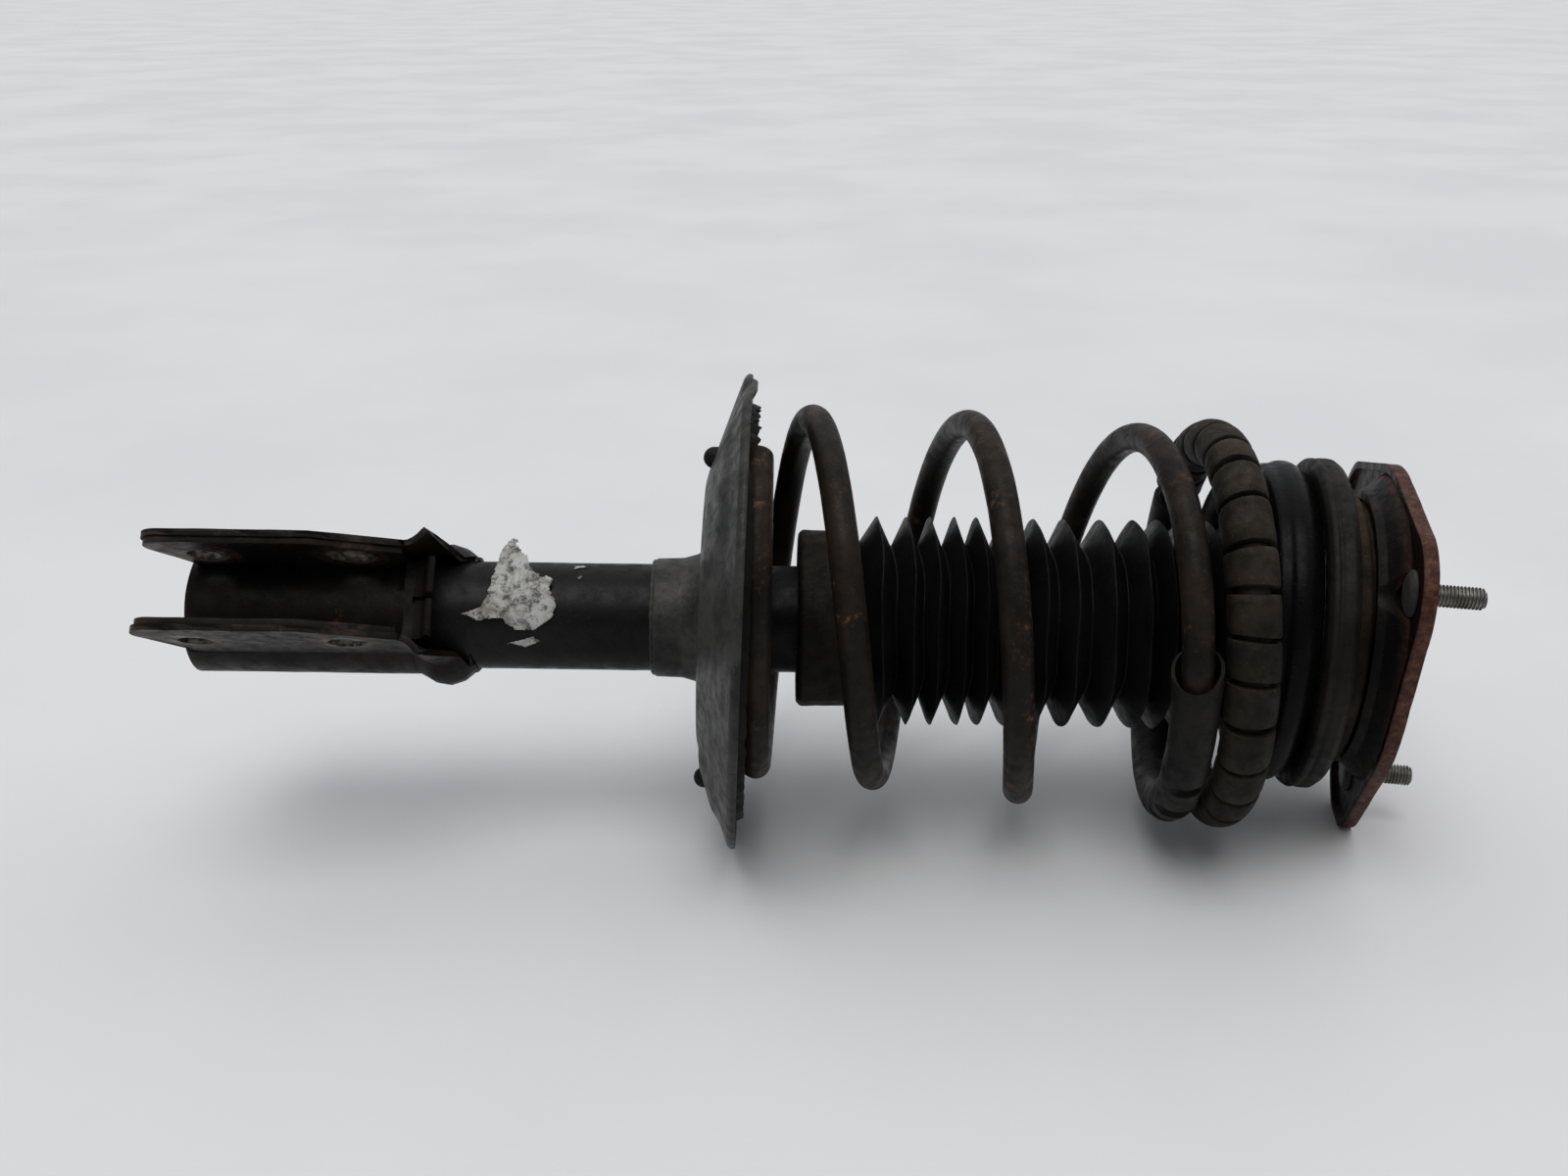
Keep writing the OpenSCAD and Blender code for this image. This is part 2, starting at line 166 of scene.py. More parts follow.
def tube_faces(sides, rings, caps=True):
    """The faces between rings of points, and a face over each end."""
    faces = []
    for i in range(rings):
        for k in range(sides):
            j = (k + 1) % sides
            faces.append((i * sides + k, (i + 1) * sides + k, (i + 1) * sides + j, i * sides + j))
    if caps:
        faces.append(tuple(range(sides)))
        faces.append(tuple(range(rings * sides + sides - 1, rings * sides - 1, -1)))
    return faces


def sweep(name, line, radius, sides, rings, caps=True, slide=None):
    """A tube along line(t), t from 0 to 1. radius(t, angle) gives its radius in millimetres;
    slide(t, angle) moves part of a ring on along the line."""
    verts = []
    step = 1e-4

    def ring_frame(t):
        here = Vector(line(t))
        along = (Vector(line(t + step)) - Vector(line(t - step))).normalized()
        out = Vector((0, here.y, here.z)).normalized()
        side = along.cross(out).normalized()
        return here, side.cross(along), side

    for i in range(rings + 1):
        t = i / rings
        centre = ring_frame(t)
        for k in range(sides):
            angle = TAU * k / sides
            r = radius(t, angle)
            on = slide(t, angle) if slide else 0.0
            here, up, side = ring_frame(t + on) if on else centre
            verts.append(here + r * (math.cos(angle) * up + math.sin(angle) * side))
    return mesh_piece(name, verts, tube_faces(sides, rings, caps), 50.0)


def joined(name, pieces, sharp=40.0):
    """Several mesh objects as one."""
    bm = bmesh.new()
    for piece in pieces:
        bm.from_mesh(piece.data)
        data = piece.data
        bpy.data.objects.remove(piece)
        bpy.data.meshes.remove(data)
    data = bpy.data.meshes.new(name)
    bm.to_mesh(data)
    bm.free()
    piece = linked(name, data)
    tidy_mesh(piece, sharp)
    return piece


def move_points(piece, move):
    """move(Vector in mm, normal) gives each point's new place in millimetres."""
    data = piece.data
    normals = [v.normal.copy() for v in data.vertices]
    for v, normal in zip(data.vertices, normals):
        v.co = Vector(move(v.co / MM, normal)) * MM
    data.update()


def cut_finer(mesh, longest):
    """Splits the edges longer than a given length in millimetres."""
    bm = bmesh.new()
    bm.from_mesh(mesh)
    bmesh.ops.triangulate(bm, faces=[f for f in bm.faces if len(f.verts) > 4])
    for _ in range(6):
        long_edges = [e for e in bm.edges if e.calc_length() > longest * MM]
        if not long_edges:
            break
        bmesh.ops.subdivide_edges(bm, edges=long_edges, cuts=1)
        bmesh.ops.triangulate(bm, faces=[f for f in bm.faces if len(f.verts) > 4])
    bm.to_mesh(mesh)
    bm.free()


def refined(node, name, bevel, amount, lump, longest):
    """A copy of a CAD node with rolled edges, cut finer and a little uneven.
    bevel is the width of its edges, amount the height of its lumps and lump their size."""
    piece = linked(name, NODES[node].data.copy())
    bm = bmesh.new()
    bm.from_mesh(piece.data)
    bmesh.ops.remove_doubles(bm, verts=bm.verts, dist=2e-6)
    bmesh.ops.dissolve_limit(bm, angle_limit=math.radians(0.6), verts=bm.verts, edges=bm.edges)
    bm.to_mesh(piece.data)
    bm.free()
    modifier = piece.modifiers.new("edges", "BEVEL")
    modifier.width = bevel * MM
    modifier.segments = 3
    modifier.limit_method = "ANGLE"
    modifier.angle_limit = math.radians(28)
    modifier.use_clamp_overlap = True
    modifier.harden_normals = False
    baked(piece)
    cut_finer(piece.data, longest)
    tidy_mesh(piece, 32.0)
    move_points(piece, lambda p, n: p + n * amount * noise_at(p.x, p.y, p.z, lump, 3.1))
    return piece


# ---------------------------------------------------------------- materials

class Shader:
    """A material under construction: each method adds a node and gives back its output.
    Its coordinates are the object's own, in metres."""

    def __init__(self, name):
        self.material = bpy.data.materials.new(name)
        self.material.use_nodes = True
        self.tree = self.material.node_tree
        self.bsdf = self.tree.nodes["Principled BSDF"]
        self.place = self.tree.nodes.new("ShaderNodeTexCoord").outputs["Object"]
        self.normal = self.tree.nodes.new("ShaderNodeNewGeometry").outputs["Normal"]

    def node(self, kind, **inputs):
        """A node with its inputs set; an underscore in a name stands for a space."""
        made = self.tree.nodes.new(kind)
        for key, value in inputs.items():
            self.put(made.inputs[key.replace("_", " ")], value)
        return made

    def put(self, socket, value):
        """Links an output to a socket, or sets a constant on it."""
        if isinstance(value, bpy.types.NodeSocket):
            self.tree.links.new(value, socket)
        else:
            socket.default_value = value

    def noise(self, size, detail=5.0, rough=0.6, place=None, distort=0.0):
        """Noise from 0 to 1 with lumps of a given size in millimetres."""
        made = self.node("ShaderNodeTexNoise", Scale=1000.0 / size, Detail=detail,
                         Roughness=rough, Distortion=distort)
        self.put(made.inputs["Vector"], place or self.place)
        return made.outputs["Fac"]

    def stretch(self, scale, rotation):
        """The object's coordinates, scaled and turned."""
        made = self.node("ShaderNodeMapping", Vector=self.place)
        made.inputs["Scale"].default_value = scale
        made.inputs["Rotation"].default_value = rotation
        return made.outputs["Vector"]

    def math(self, operation, a, b=0.5, clamp=False):
        made = self.tree.nodes.new("ShaderNodeMath")
        made.operation = operation
        made.use_clamp = clamp
        self.put(made.inputs[0], a)
        self.put(made.inputs[1], b)
        return made.outputs[0]

    def step(self, value, low, high, out_low=0.0, out_high=1.0):
        """A clamped ramp from low to high."""
        made = self.tree.nodes.new("ShaderNodeMapRange")
        made.interpolation_type = "SMOOTHSTEP"
        for socket, number in zip(("Value", "From Min", "From Max", "To Min", "To Max"),
                                  (value, low, high, out_low, out_high)):
            self.put(made.inputs[socket], number)
        return made.outputs["Result"]

    def mix(self, share, a, b):
        """Colour a where share is 0, and colour b where it is 1."""
        made = self.tree.nodes.new("ShaderNodeMix")
        made.data_type = "RGBA"
        self.put(made.inputs[0], share)
        for socket, value in ((made.inputs[6], a), (made.inputs[7], b)):
            if not isinstance(value, bpy.types.NodeSocket):
                value = (*value, 1.0)
            self.put(socket, value)
        return made.outputs[2]

    def facing(self, axis):
        """How far the surface faces +X, +Y or +Z, from -1 to 1."""
        made = self.node("ShaderNodeSeparateXYZ", Vector=self.normal)
        return made.outputs[axis]

    def coordinate(self, axis, place=None):
        made = self.node("ShaderNodeSeparateXYZ", Vector=place or self.place)
        return made.outputs[axis]

    def band(self, value, low, high, soft):
        """1 between low and high, and 0 outside."""
        rise = self.step(value, low - soft, low + soft)
        fall = self.step(value, high - soft, high + soft, 1.0, 0.0)
        return self.math("MULTIPLY", rise, fall)

    def close(self, colour, roughness, bump, depth, metallic=None, specular=None):
        """The finished material; depth is the height of its bumps in millimetres."""
        made = self.node("ShaderNodeBump", Height=bump, Distance=depth * MM, Strength=1.0)
        for socket, value in (("Base Color", colour), ("Roughness", roughness),
                              ("Normal", made.outputs["Normal"]), ("Metallic", metallic),
                              ("Specular IOR Level", specular)):
            if value is not None:
                self.put(self.bsdf.inputs[socket], value)
        return self.material


def weathered(name, base, lift, gloss, dust=(0.33, 0.31, 0.28), dusting=0.35, rust=0.0,
              rust_dark=(0.055, 0.024, 0.014), rust_light=(0.22, 0.085, 0.035),
              depth=0.12, scratches=0.0, specular=0.11, extra=None):
    """Old paint or rubber: blotches, settled dust, rust and fine grain.
    lift is the paler blotch colour, gloss the roughness of a clean patch and depth the height
    of the bumps in millimetres; dusting, rust and scratches run from 0 to 1. extra(shader,
    colour, roughness, height) may add marks of its own."""
    s = Shader(name)
    blotch = s.step(s.noise(38, 6, 0.62), 0.36, 0.66)
    speck = s.noise(0.9, 3, 0.7)
    middle = s.noise(7, 6, 0.65, distort=0.4)
    colour = s.mix(blotch, base, lift)
    colour = s.mix(s.step(middle, 0.42, 0.72, 0.0, 0.55), colour, tuple(0.5 * c for c in base))
    up = s.step(s.facing("Z"), -0.35, 1.0)
    settle = s.math("ADD", s.math("MULTIPLY", s.noise(16, 8, 0.72), 0.75),
                    s.math("MULTIPLY", up, 0.25))
    film = s.step(settle, 0.66 - 0.32 * dusting, 0.98 - 0.3 * dusting, 0.0, 0.08 + 0.36 * dusting)
    film = s.math("MULTIPLY", film, s.step(speck, 0.28, 0.62, 0.45, 1.0))
    colour = s.mix(film, colour, dust)
    grit = s.math("MULTIPLY", s.step(s.noise(0.75, 2, 0.6), 0.64, 0.74, 0.0, 0.55),
                  s.step(settle, 0.40, 0.62, 0.1, 1.0))
    colour = s.mix(s.math("MULTIPLY", grit, min(1.0, 0.35 + dusting)), colour, dust)
    rough_now = s.step(middle, 0.3, 0.75, max(0.05, gloss - 0.1), min(1.0, gloss + 0.18))
    rough_now = s.math("ADD", rough_now, s.math("MULTIPLY", film, 0.35), clamp=True)
    height = s.math("ADD", s.math("MULTIPLY", speck, 0.5), middle)
    if rust:
        patch = s.math("ADD", s.math("MULTIPLY", s.noise(24, 9, 0.72, distort=0.5), 0.7),
                       s.math("MULTIPLY", s.noise(3.2, 6, 0.7), 0.3))
        eaten = s.step(patch, 0.66 - 0.22 * rust, 0.76 - 0.2 * rust)
        tone = s.mix(s.step(s.noise(5, 5, 0.7), 0.38, 0.68), rust_dark, rust_light)
        colour = s.mix(s.math("MULTIPLY", eaten, 0.85), colour, tone)
        rough_now = s.math("ADD", rough_now, s.math("MULTIPLY", eaten, 0.3), clamp=True)
        height = s.math("ADD", height, s.math("MULTIPLY", eaten, s.noise(1.4, 5, 0.7)))
    if scratches:
        long_way = s.stretch((1.0, 9.0, 9.0), (0.3, 0.2, 0.15))
        line = s.step(s.noise(9, 3, 0.6, long_way), 0.70, 0.74, 0.0, scratches)
        colour = s.mix(line, colour, (0.16, 0.155, 0.145))
    if extra:
        colour, rough_now, height = extra(s, colour, rough_now, height)
    return s.close(colour, rough_now, height, depth, specular=specular)


EAR_LIFT = math.radians(36)          # the ears are turned this far round the tube
EAR_IN = 16.5                        # just inside the ears' inner faces
HOLE_REACH = 40                      # from the tube's axis to the bolt holes
HOLES_X = (-549, -482)
TUBE_LOW = -559


def rings_round_bolts(s, colour, rough_now, height):
    """Bright and rusty rings that washers left round the bolt holes, and a rusty lower end."""
    flat = s.stretch((1, 1, 1), (EAR_LIFT, 0, 0))
    across = s.math("ADD", s.coordinate("Y", flat), HOLE_REACH * MM)
    on_ear = s.step(s.math("ABSOLUTE", s.coordinate("Z", flat)),
                    (EAR_IN - 0.3) * MM, (EAR_IN + 0.3) * MM)
    for hole_x in HOLES_X:
        along = s.math("SUBTRACT", s.coordinate("X", flat), hole_x * MM)
        square = s.math("ADD", s.math("MULTIPLY", along, along),
                        s.math("MULTIPLY", across, across))
        away = s.math("ADD", s.math("SQRT", square), s.math("MULTIPLY", s.noise(5, 4, 0.6), 0.003))
        worn = s.band(away, 0.0088, 0.0128, 0.0006)
        stain = s.band(away, 0.0128, 0.0185, 0.0015)
        patchy = s.math("MULTIPLY", s.step(s.noise(4, 5, 0.7), 0.35, 0.6), on_ear)
        colour = s.mix(s.math("MULTIPLY", s.math("MULTIPLY", stain, patchy), 0.5), colour,
                       (0.075, 0.045, 0.03))
        colour = s.mix(s.math("MULTIPLY", s.math("MULTIPLY", worn, patchy), 0.7), colour,
                       (0.17, 0.15, 0.13))
    end = s.step(s.math("ADD", s.coordinate("X"), s.math("MULTIPLY", s.noise(8, 5, 0.7), 0.02)),
                 (TUBE_LOW + 3) * MM, (TUBE_LOW + 14) * MM, 0.5, 0.0)
    colour = s.mix(end, colour, (0.055, 0.032, 0.022))
    return colour, rough_now, height


PLATE_LEAN = math.radians(9.5)


def rusty_rim(s, colour, rough_now, height):
    """Red-brown rust on the top plate's rim and outer face."""
    behind = s.math("SUBTRACT", s.coordinate("X"),
                    s.math("MULTIPLY", s.coordinate("Y"), math.tan(PLATE_LEAN)))
    edge = s.step(s.math("ADD", behind, s.math("MULTIPLY", s.noise(9, 6, 0.7), 0.004)),
                  -0.0065, -0.002)
    tone = s.mix(s.step(s.noise(4, 6, 0.7), 0.4, 0.66),
                 (0.060, 0.022, 0.015), (0.16, 0.062, 0.040))
    edge = s.math("MULTIPLY", edge, s.step(s.facing("X"), -0.85, -0.45, 0.12, 1.0))
    rim = s.math("MULTIPLY", edge, s.step(s.noise(2.5, 5, 0.7), 0.25, 0.6, 0.55, 1.0))
    return s.mix(s.math("MULTIPLY", rim, 0.8), colour, tone), rough_now, height


def bright_metal(name, base, gloss, dirt, dirt_colour=(0.10, 0.075, 0.05)):
    """Bare metal with duller streaks and patches of grime."""
    s = Shader(name)
    streak = s.noise(6, 5, 0.6)
    grime = s.step(s.noise(5, 8, 0.75), 0.68 - 0.3 * dirt, 0.86 - 0.2 * dirt)
    colour = s.mix(s.step(streak, 0.35, 0.7), base, tuple(0.62 * c for c in base))
    colour = s.mix(grime, colour, dirt_colour)
    rough_now = s.step(streak, 0.3, 0.7, gloss, gloss + 0.15)
    rough_now = s.math("ADD", rough_now, s.math("MULTIPLY", grime, 0.4), clamp=True)
    metallic = s.step(grime, 0.0, 1.0, 1.0, 0.2)
    return s.close(colour, rough_now, s.noise(1.2, 4, 0.6), 0.05, metallic)


def torn_paper():
    """Pale paper with stains and dark mould."""
    s = Shader("torn_paper")
    stain = s.step(s.noise(13, 8, 0.72, distort=0.6), 0.42, 0.62)
    mould = s.step(s.noise(4.5, 7, 0.75), 0.48, 0.60)
    colour = s.mix(stain, (0.48, 0.48, 0.46), (0.22, 0.21, 0.185))
    colour = s.mix(s.math("MULTIPLY", mould, 0.85), colour, (0.055, 0.05, 0.045))
    return s.close(colour, s.step(stain, 0, 1, 0.8, 0.95), s.noise(1.5, 5, 0.7), 0.25)


def floor_finish():
    """A pale floor with faint clouds and marks."""
    s = Shader("pale_floor")
    cloud = s.step(s.noise(420, 5, 0.6), 0.3, 0.7)
    mark = s.step(s.noise(45, 8, 0.72), 0.62, 0.8, 0.0, 0.22)
    colour = s.mix(cloud, (0.75, 0.75, 0.765), (0.785, 0.785, 0.795))
    colour = s.mix(mark, colour, (0.60, 0.60, 0.61))
    return s.close(colour, s.step(cloud, 0, 1, 0.42, 0.55), s.noise(5, 5, 0.6), 0.12)


TUBE_PAINT = weathered("tube_paint", (0.0045, 0.0045, 0.005), (0.010, 0.0095, 0.0095), 0.36,
                       dust=(0.20, 0.18, 0.16), dusting=0.12, rust=0.06, scratches=0.2)
BRACKET_PAINT = weathered("bracket_paint", (0.0052, 0.0044, 0.004), (0.013, 0.0095, 0.0078), 0.44,
                          dust=(0.13, 0.095, 0.075), dusting=0.16, rust=0.30, scratches=0.3,
                          rust_dark=(0.030, 0.015, 0.010), rust_light=(0.10, 0.050, 0.030),
                          extra=rings_round_bolts, depth=0.2)
SEAT_PAINT = weathered("seat_paint", (0.018, 0.018, 0.0175), (0.052, 0.051, 0.048), 0.40,
                       dust=(0.30, 0.29, 0.26), dusting=0.46, rust=0.08, scratches=0.45)
PAD_RUBBER = weathered("pad_rubber", (0.004, 0.004, 0.004), (0.008, 0.008, 0.0075), 0.55,
                       dust=(0.15, 0.12, 0.10), dusting=0.15, depth=0.2)
SPRING_PAINT = weathered("spring_paint", (0.008, 0.007, 0.006), (0.024, 0.017, 0.012), 0.42,
                         dust=(0.17, 0.125, 0.09), dusting=0.36, rust=0.54,
                         rust_dark=(0.032, 0.016, 0.009), rust_light=(0.19, 0.095, 0.045))
BOOT_RUBBER = weathered("boot_rubber", (0.003, 0.003, 0.0035), (0.007, 0.007, 0.0075), 0.45,
                        dust=(0.12, 0.11, 0.10), dusting=0.22, depth=0.1)
CUP_RUBBER = weathered("cup_rubber", (0.005, 0.0045, 0.004), (0.016, 0.0125, 0.009), 0.55,
                       dust=(0.16, 0.12, 0.085), dusting=0.42, depth=0.15)
GLOSSY_SEAT = weathered("glossy_seat", (0.0015, 0.0015, 0.002), (0.003, 0.003, 0.0035), 0.3,
                        dust=(0.14, 0.13, 0.12), dusting=0.05, scratches=0.12, specular=0.07)
SLEEVE_RUBBER = weathered("sleeve_rubber", (0.0055, 0.0052, 0.005), (0.013, 0.012, 0.0105), 0.5,
                          dust=(0.14, 0.12, 0.10), dusting=0.28, depth=0.2)
SLIT_RUBBER = weathered("slit_rubber", (0.009, 0.0078, 0.006), (0.026, 0.021, 0.015), 0.62,
                        dust=(0.19, 0.145, 0.10), dusting=0.5, rust=0.16, depth=0.35,
                        rust_light=(0.15, 0.075, 0.035))
CAP_RUBBER = weathered("cap_rubber", (0.007, 0.0065, 0.006), (0.015, 0.0135, 0.011), 0.5,
                       dust=(0.17, 0.14, 0.11), dusting=0.36, depth=0.18)
BROWN_RUBBER = weathered("brown_rubber", (0.008, 0.006, 0.0045), (0.026, 0.017, 0.010), 0.65,
                         dust=(0.15, 0.10, 0.06), dusting=0.5, rust=0.2, depth=0.4)
PLATE_PAINT = weathered("plate_paint", (0.0035, 0.003, 0.003), (0.010, 0.007, 0.0055), 0.45,
                        dust=(0.14, 0.10, 0.075), dusting=0.25, rust=0.25, extra=rusty_rim,
                        depth=0.35)
FOAM = weathered("foam", (0.50, 0.42, 0.24), (0.60, 0.52, 0.32), 0.8, dusting=0.2, depth=0.4)
NYLON = weathered("nylon", (0.55, 0.50, 0.38), (0.65, 0.60, 0.48), 0.45, dusting=0.1)
SEAL = weathered("seal", (0.02, 0.02, 0.02), (0.04, 0.04, 0.04), 0.5, dusting=0.05)
BRONZE = weathered("bronze_band", (0.12, 0.16, 0.12), (0.18, 0.22, 0.16), 0.4, dusting=0.05)
ZINC = bright_metal("zinc", (0.30, 0.295, 0.27), 0.34, 0.55, (0.035, 0.028, 0.02))
STEEL = bright_metal("steel", (0.50, 0.50, 0.51), 0.32, 0.1)
CHROME = bright_metal("chrome", (0.70, 0.70, 0.72), 0.08, 0.02)
HEAD_STEEL = weathered("head_steel", (0.05, 0.048, 0.046), (0.10, 0.095, 0.088), 0.45,
                       dusting=0.3, rust=0.1)
PAPER = torn_paper()


# ---------------------------------------------------------------- damper and bracket

TUBE_R = 25.5
TUBE_HIGH = -250


def make_tube():
    """The reservoir tube, open at its top end."""
    profile = [(0, TUBE_LOW + 2), (14, TUBE_LOW + 2), (16, TUBE_LOW), (TUBE_R - 1, TUBE_LOW),
               (TUBE_R, TUBE_LOW + 1), (TUBE_R, TUBE_HIGH - 1.5), (TUBE_R - 1.5, TUBE_HIGH),
               (20.9, TUBE_HIGH), (20.9, TUBE_HIGH - 2.5), (22.9, TUBE_HIGH - 2.5),
               (22.9, TUBE_LOW + 5), (0, TUBE_LOW + 5)]
    profile = dense(rounded(profile, 0.8, 3), 3.0)

    def uneven(r, x, elevation):
        if r < TUBE_R - 1.2:
            return r, x
        y, z = r * math.cos(elevation), r * math.sin(elevation)
        return r - 0.12 + 0.12 * noise_at(x, y, z, 14, 1.0), x

    tube = lathe("tube_shell", profile, 128, uneven)
    finish_piece(tube, TUBE_PAINT, "strut_body", ["outer_tube"])


def weld_bead(name, material, x, r, size, seed, start=0.0, sweep_angle=TAU):
    """A rippled weld round the tube, from elevation start on."""
    closed = sweep_angle >= TAU - 1e-6

    def line(t):
        a = start + t * sweep_angle
        wander = 0.5 * noise_at(40 * math.cos(a), 40 * math.sin(a), 0, 12, seed)
        return (x + wander, -r * math.cos(a), r * math.sin(a))

    def radius(t, angle):
        ripple = 1 + 0.10 * math.sin(t * sweep_angle * 34)
        taper = 1.0 if closed else min(1.0, 12 * t + 0.2, 12 * (1 - t) + 0.2)
        return size * ripple * taper

    bead = sweep(name, line, radius, 10, 300, caps=not closed)
    finish_piece(bead, material, "strut_body")


WRAP_HIGH = -431                     # where the bracket's wrap ends on the tube


def make_bracket():
    """The two bent sheets, from the CAD nodes, and their welds to the tube."""
    outer = refined("knuckle_bracket", "bracket_outer", 0.9, 0.22, 16, 7)
    finish_piece(outer, BRACKET_PAINT, "strut_body", ["knuckle_bracket"])
    inner = refined("bracket_reinforcement", "bracket_inner", 0.8, 0.22, 13, 7)
    finish_piece(inner, BRACKET_PAINT, "strut_body", ["bracket_reinforcement"])
    weld_bead("bracket_weld", BRACKET_PAINT, WRAP_HIGH - 0.2, TUBE_R + 0.5, 1.5, 2.0,
              math.radians(96), math.radians(240))
    weld_bead("lower_weld", BRACKET_PAINT, TUBE_LOW - 0.4, TUBE_R + 0.5, 1.2, 5.0,
              math.radians(110), math.radians(190))


# ---------------------------------------------------------------- lower seat

SEAT_X = -324
SEAT_RISE = 4
SEAT_R = 113
SEAT_LEAN = math.radians(1.5)
COLLAR_LOW = -346                    # where the seat's collar ends on the tube
NUB_R = 5
NUB_CIRCLE = 79                      # radius of the circle that the pad's nubs stand on
NUB_X = 4
NUB_ELEVATIONS = [math.radians(e) for e in (84, -65, 205)]


def in_seat(piece):
    """From the seat's own frame to the strut's."""
    piece.data.transform(Matrix.Translation(Vector((SEAT_X, 0, SEAT_RISE)) * MM)
                         @ Matrix.Rotation(SEAT_LEAN, 4, "Y"))
    return piece


def angle_gap(a, b):
    """The smaller angle between two directions."""
    return abs((a - b + math.pi) % TAU - math.pi)


def make_seat():
    """The dished lower spring seat, its collar and its weld."""
    profile = [(26.2, 0), (62, 0), (66, 1), (SEAT_R - 2, 16), (SEAT_R, 18),
               (SEAT_R - 0.6, 20.2), (SEAT_R - 4, 19.4), (65, 4.2), (61, 3), (26.2, 3)]
    profile = dense(rounded(profile, 1.1, 4), 3.0)

    def pressed(r, x, elevation):
        # shallow pressings in the cone, a wavy edge and a tongue at the top
        lobe = 0.5 + 0.5 * math.cos(3 * (elevation - math.radians(60)))
        x -= 2.2 * smooth(lobe, 0.55, 0.8) * smooth(r, 66, 76) * (1 - smooth(r, 92, 102))
        edge = smooth(r, 96, SEAT_R)
        wave = noise_at(60 * math.cos(elevation), 60 * math.sin(elevation), 0, 26, 4.0)
        r += 0.9 * edge * (wave - 0.9)
        tongue = 1 - smooth(angle_gap(elevation, math.radians(88)), 0.05, 0.13)
        x += 2.6 * tongue * smooth(r, 100, SEAT_R)
        r += 0.6 * tongue * edge
        return r, x

    pan = in_seat(lathe("seat_pan", profile, 360, pressed))
    collar = [(TUBE_R, COLLAR_LOW), (TUBE_R + 2.6, COLLAR_LOW), (TUBE_R + 3, SEAT_X - 9),
              (TUBE_R + 5, SEAT_X - 2), (TUBE_R + 9, SEAT_X + 2), (TUBE_R, SEAT_X + 2)]
    neck = lathe("seat_neck", dense(rounded(collar, 1.0, 3), 3.0), 128)
    seat = joined("seat_dish", [pan, neck])
    finish_piece(seat, SEAT_PAINT, "strut_body", ["spring_seat"])
    weld_bead("collar_weld", SEAT_PAINT, COLLAR_LOW - 0.4, TUBE_R + 0.7, 1.3, 7.0)


def make_pad():
    """The rubber pad under the spring, with a ragged lip and nubs pushed through the seat."""
    profile = [(38, 3.1), (61, 3.1), (65, 4.3), (97, 15.8), (99, 20), (97, 25), (94, 21),
               (91, 18), (74, 18), (68, 19), (66, 26), (63, 28), (59, 28), (56, 20), (42, 9)]
    profile = dense(rounded(profile, 1.6, 4), 2.5)

    def worn(r, x, elevation):
        y, z = r * math.cos(elevation), r * math.sin(elevation)
        lip = smooth(r, 92, 97) * smooth(x, 16, 21)
        rag = noise_at(y, z, 0, 6, 8.0)
        top = 1 - smooth(angle_gap(elevation, math.radians(95)), 0.25, 0.75)
        x += lip * (1.0 * rag + 3.0 * top * noise_at(y, z, 0, 3.5, 9.0) - 1.2)
        crown = smooth(x, 19, 26) * (1 - smooth(r, 70, 74))
        x += crown * (0.8 * noise_at(y, z, 0, 22, 6.0) - 0.8)
        return r, x

    parts = [in_seat(lathe("pad_ring", profile, 300, worn))]
    for i, elevation in enumerate(NUB_ELEVATIONS):
        dome = [(0, NUB_X - NUB_R)] + [(NUB_R * math.sin(a), NUB_X - NUB_R * math.cos(a))
                                       for a in (0.2, 0.45, 0.7, 0.95, 1.2, 1.45)]
        dome += [(NUB_R, NUB_X + 2), (NUB_R - 0.3, 10), (0, 10)]
        nub = lathe(f"nub_{i}", dense(dome, 1.5), 40)
        nub.data.transform(Matrix.Rotation(-elevation, 4, "X")
                           @ Matrix.Translation((0, -NUB_CIRCLE * MM, 0)))
        parts.append(in_seat(nub))
    pad = joined("seat_pad", parts)
    finish_piece(pad, PAD_RUBBER, "strut_body", ["lower_spring_pad"])


# ---------------------------------------------------------------- spring and sleeves

COIL_START = -298
COIL_PITCH = 77
COIL_END = -62
COIL_R = 85
COIL_RISE = 15                       # how far the spring's lower end lies above the tube's axis
COIL_LEAN = 5                        # how far a coil's top is pushed along +X, and its foot back
COIL_NEAR = 7                        # how far its near side is pushed back, and its far side on
NEAR_ELEVATION = math.radians(15)
COIL_TURNS = 5
WIRE_R = 7
SLEEVE_R = 11.25
TIP = math.radians(68)               # elevation of the spring's lower tip


def eased(n, a, b):
    """0 before a, a slope of 1 from b on, and a smooth bend between them."""
    u = min(1.0, max(0.0, (n - a) / (b - a)))
    return (b - a) * (u ** 3 - u ** 4 / 2) + max(n - b, 0.0)


def coil_point(n):
    """The wire's centre after n turns, as in the CAD model."""
    x = COIL_START + COIL_PITCH * (eased(n, 0.2, 0.97) - 0.1 * smooth(n, 1.4, 1.8)
                                   + 0.05 * smooth(n, 2.4, 2.8) - 0.68 * eased(n, 2.8, 3.6)
                                   - 0.08 * smooth(n, 3.5, 3.85) + 0.08 * smooth(n, 3.95, 4.35)
                                   - 0.42 * eased(n, 4.1, 4.7))
    r = COIL_R - 3 * (1 - smooth(n, 0.8, 2)) - 19 * smooth(n, 4.4, 4.9)
    elevation = TIP - TAU * n
    lean = COIL_LEAN * smooth(n, 0.6, 1.6) * math.sin(elevation)
    near = (COIL_NEAR * (0.5 * smooth(n, 0.4, 1) + 0.5 * smooth(n, 2.9, 3.9))
            * math.cos(elevation - NEAR_ELEVATION))
    rise = COIL_RISE * (x - COIL_END) / (COIL_START - COIL_END)
    return (x + (lean - near) * r / COIL_R,
            -r * math.cos(elevation),
            rise + r * math.sin(elevation))


